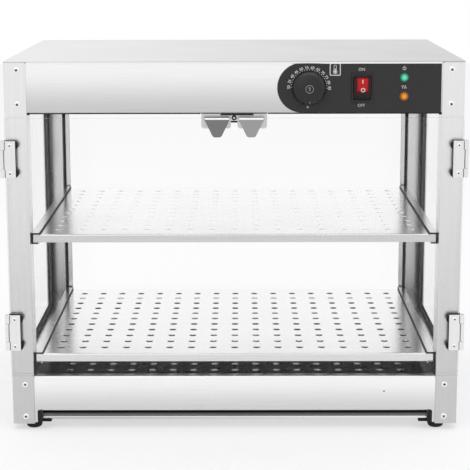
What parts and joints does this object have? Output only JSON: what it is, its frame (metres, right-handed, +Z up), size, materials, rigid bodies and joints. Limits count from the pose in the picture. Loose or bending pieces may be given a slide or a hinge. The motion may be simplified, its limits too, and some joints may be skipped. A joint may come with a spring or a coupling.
{
  "type": "heated display case",
  "caption": "Countertop heated display case: sheet metal frame, glass walls, perforated trays on rails, hinged glass front doors and a control strip on the header.",
  "frame": {"origin": "on the counter under the middle of the case's overall box", "axes": "+X to the right of someone facing the doors, +Y from the doors to the back, +Z up"},
  "size_m": [0.6226, 0.45, 0.506],
  "materials": {
    "sheet": "brushed stainless sheet",
    "post": "satin stainless",
    "tray": "polished stainless",
    "liner": "dull stainless",
    "bright": "bright plated metal",
    "spring_steel": "grey spring steel",
    "glass": "clear toughened glass",
    "rubber": "black silicone rubber",
    "black_plate": "black satin paint",
    "black_plastic": "black moulded plastic",
    "red_plastic": "red translucent plastic",
    "green_lens": "green lens",
    "orange_lens": "orange lens",
    "diffuser": "frosted diffuser",
    "element": "oxidised tube"
  },
  "bodies": {
    "case": {"front_left_post": "post", "front_right_post": "post", "rear_left_post": "post", "rear_right_post": "post", "top_cover": "sheet", "front_header": "sheet", "header_wrap": "sheet", "front_apron": "sheet", "base_wrap": "sheet", "ceiling_liner": "liner", "base_pan": "liner", "floor_plate": "tray", "upper_tray": "tray", "lower_tray": "tray", "heating_element": "element", "left_side_glass": "glass", "right_side_glass": "glass", "rear_glass": "glass", "left_glass_channel": "rubber", "right_glass_channel": "rubber", "rear_glass_seal": "rubber", "rear_glass_frame": "bright", "upper_left_rail": "bright", "upper_right_rail": "bright", "lower_left_rail": "bright", "lower_right_rail": "bright", "control_strip": "black_plate", "thermostat": "black_plastic", "switch_body": "black_plastic", "green_lamp": "green_lens", "orange_lamp": "orange_lens", "ceiling_light": "diffuser", "power_inlet": "black_plastic", "door_catch": "bright", "front_left_foot": "rubber", "front_right_foot": "rubber", "rear_left_foot": "rubber", "rear_right_foot": "rubber", "upper_left_post_leaf": "bright", "lower_left_post_leaf": "bright", "upper_right_post_leaf": "bright", "lower_right_post_leaf": "bright"},
    "left_door": {"left_door_glass": "glass", "left_door_pull": "spring_steel", "upper_left_door_leaf": "bright", "upper_left_hinge_pad": "rubber", "upper_left_hinge_clamp": "spring_steel", "lower_left_door_leaf": "bright", "lower_left_hinge_pad": "rubber", "lower_left_hinge_clamp": "spring_steel"},
    "right_door": {"right_door_glass": "glass", "right_door_pull": "spring_steel", "upper_right_door_leaf": "bright", "upper_right_hinge_pad": "rubber", "upper_right_hinge_clamp": "spring_steel", "lower_right_door_leaf": "bright", "lower_right_hinge_pad": "rubber", "lower_right_hinge_clamp": "spring_steel"},
    "knob": {"thermostat_knob": "black_plastic"},
    "rocker": {"switch_rocker": "red_plastic"}
  },
  "joints": [
    {"name": "left_door_hinge", "type": "hinge", "parent": "case", "child": "left_door", "pos_m": [-0.3084, -0.21465, 0.2583], "axis": [0, 0, -1], "range_deg": [0, 180]},
    {"name": "right_door_hinge", "type": "hinge", "parent": "case", "child": "right_door", "pos_m": [0.3084, -0.21465, 0.2583], "axis": [0, 0, 1], "range_deg": [0, 180]},
    {"name": "thermostat_turn", "type": "hinge", "parent": "case", "child": "knob", "pos_m": [0.099, -0.20705, 0.4705], "axis": [0, 1, 0], "range_deg": [0, 270]},
    {"name": "switch_tilt", "type": "hinge", "parent": "case", "child": "rocker", "pos_m": [0.1692, -0.20275, 0.4705], "axis": [-1, 0, 0], "range_deg": [0, 20]}
  ]
}
